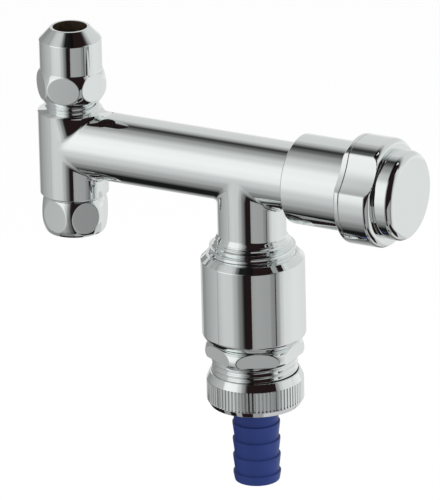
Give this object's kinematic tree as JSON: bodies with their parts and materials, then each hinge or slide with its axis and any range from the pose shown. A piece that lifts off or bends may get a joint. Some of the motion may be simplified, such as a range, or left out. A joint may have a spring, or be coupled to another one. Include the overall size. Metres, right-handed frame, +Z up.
{
  "type": "washing machine valve",
  "caption": "Chromed tee valve that fits between an angle valve and a tap: union nut, compression outlet, turning handle, check valve with pipe vent, and hose nut with barbed tail.",
  "frame": {"origin": "on the column's axis, where the inlet union nut's thread starts", "axes": "+Z up along the column towards the compression outlet, +X along the barrel towards the handle"},
  "size_m": [0.1275, 0.0336, 0.1378],
  "materials": {
    "chrome": "polished chrome on brass",
    "brass": "turned brass",
    "rubber": "moulded black rubber",
    "steel": "stainless steel",
    "white_plastic": "moulded white plastic",
    "blue_plastic": "glossy moulded blue plastic"
  },
  "bodies": {
    "valve_body": {"valve_body": "chrome", "inlet_retaining_ring": "steel", "inlet_gasket": "rubber", "headpart_bonnet": "brass", "headpart_o_ring": "rubber", "vent_housing": "chrome", "housing_seal": "rubber", "check_valve_cartridge": "white_plastic", "check_valve_spring": "steel", "vent_diaphragm": "rubber", "outlet_nipple": "chrome"},
    "inlet_nut": {"inlet_union_nut": "chrome"},
    "compression_ring": {"compression_ring": "brass"},
    "compression_nut": {"compression_nut": "chrome"},
    "handle": {"handle_skirt": "chrome", "handle_grip": "chrome", "handle_insert": "brass", "handle_screw": "steel", "handle_cap": "chrome", "spindle": "brass", "spindle_clip": "steel", "spindle_o_rings": "rubber"},
    "plug": {"valve_plug": "brass", "seat_washer": "rubber", "washer_screw": "steel"},
    "poppet": {"check_valve_poppet": "white_plastic", "poppet_seal": "rubber"},
    "hose_tail": {"hose_tail": "blue_plastic", "hose_gasket": "rubber"},
    "hose_nut": {"hose_nut": "chrome"}
  },
  "joints": [
    {"name": "handle_turn", "type": "hinge", "parent": "valve_body", "child": "handle", "pos_m": [0.086, 0, 0.0278], "axis": [1, 0, 0], "range_deg": [0, 900]},
    {"name": "plug_lift", "type": "slide", "parent": "valve_body", "child": "plug", "axis": [1, 0, 0], "range_m": [0, 0.005]},
    {"name": "inlet_nut_swivel", "type": "hinge", "parent": "valve_body", "child": "inlet_nut", "pos_m": [0, 0, 0.005], "axis": [0, 0, 1], "continuous": true},
    {"name": "compression_ring_lift", "type": "slide", "parent": "valve_body", "child": "compression_ring", "axis": [0, 0, 1], "range_m": [0, 0.0067]},
    {"name": "compression_nut_turn", "type": "hinge", "parent": "compression_ring", "child": "compression_nut", "pos_m": [0, 0, 0.053], "axis": [0, 0, 1], "range_deg": [0, 1800]},
    {"name": "hose_tail_drop", "type": "slide", "parent": "valve_body", "child": "hose_tail", "axis": [0, 0, -1], "range_m": [0, 0.0073]},
    {"name": "hose_nut_turn", "type": "hinge", "parent": "hose_tail", "child": "hose_nut", "pos_m": [0.0619, 0, -0.042], "axis": [0, 0, -1], "range_deg": [0, 1440]},
    {"name": "check_valve_travel", "type": "slide", "parent": "valve_body", "child": "poppet", "axis": [0, 0, -1], "range_m": [0, 0.003], "stiffness_N_per_m": 100, "springref_m": -0.01, "deforming": ["check_valve_spring"]}
  ],
  "couplings": [
    {"joint": "plug_lift", "follows": "handle_turn", "m_per_rad": 0.00031831},
    {"joint": "compression_ring_lift", "follows": "compression_nut_turn", "m_per_rad": 0.00021279},
    {"joint": "hose_tail_drop", "follows": "hose_nut_turn", "m_per_rad": 0.00028871}
  ]
}
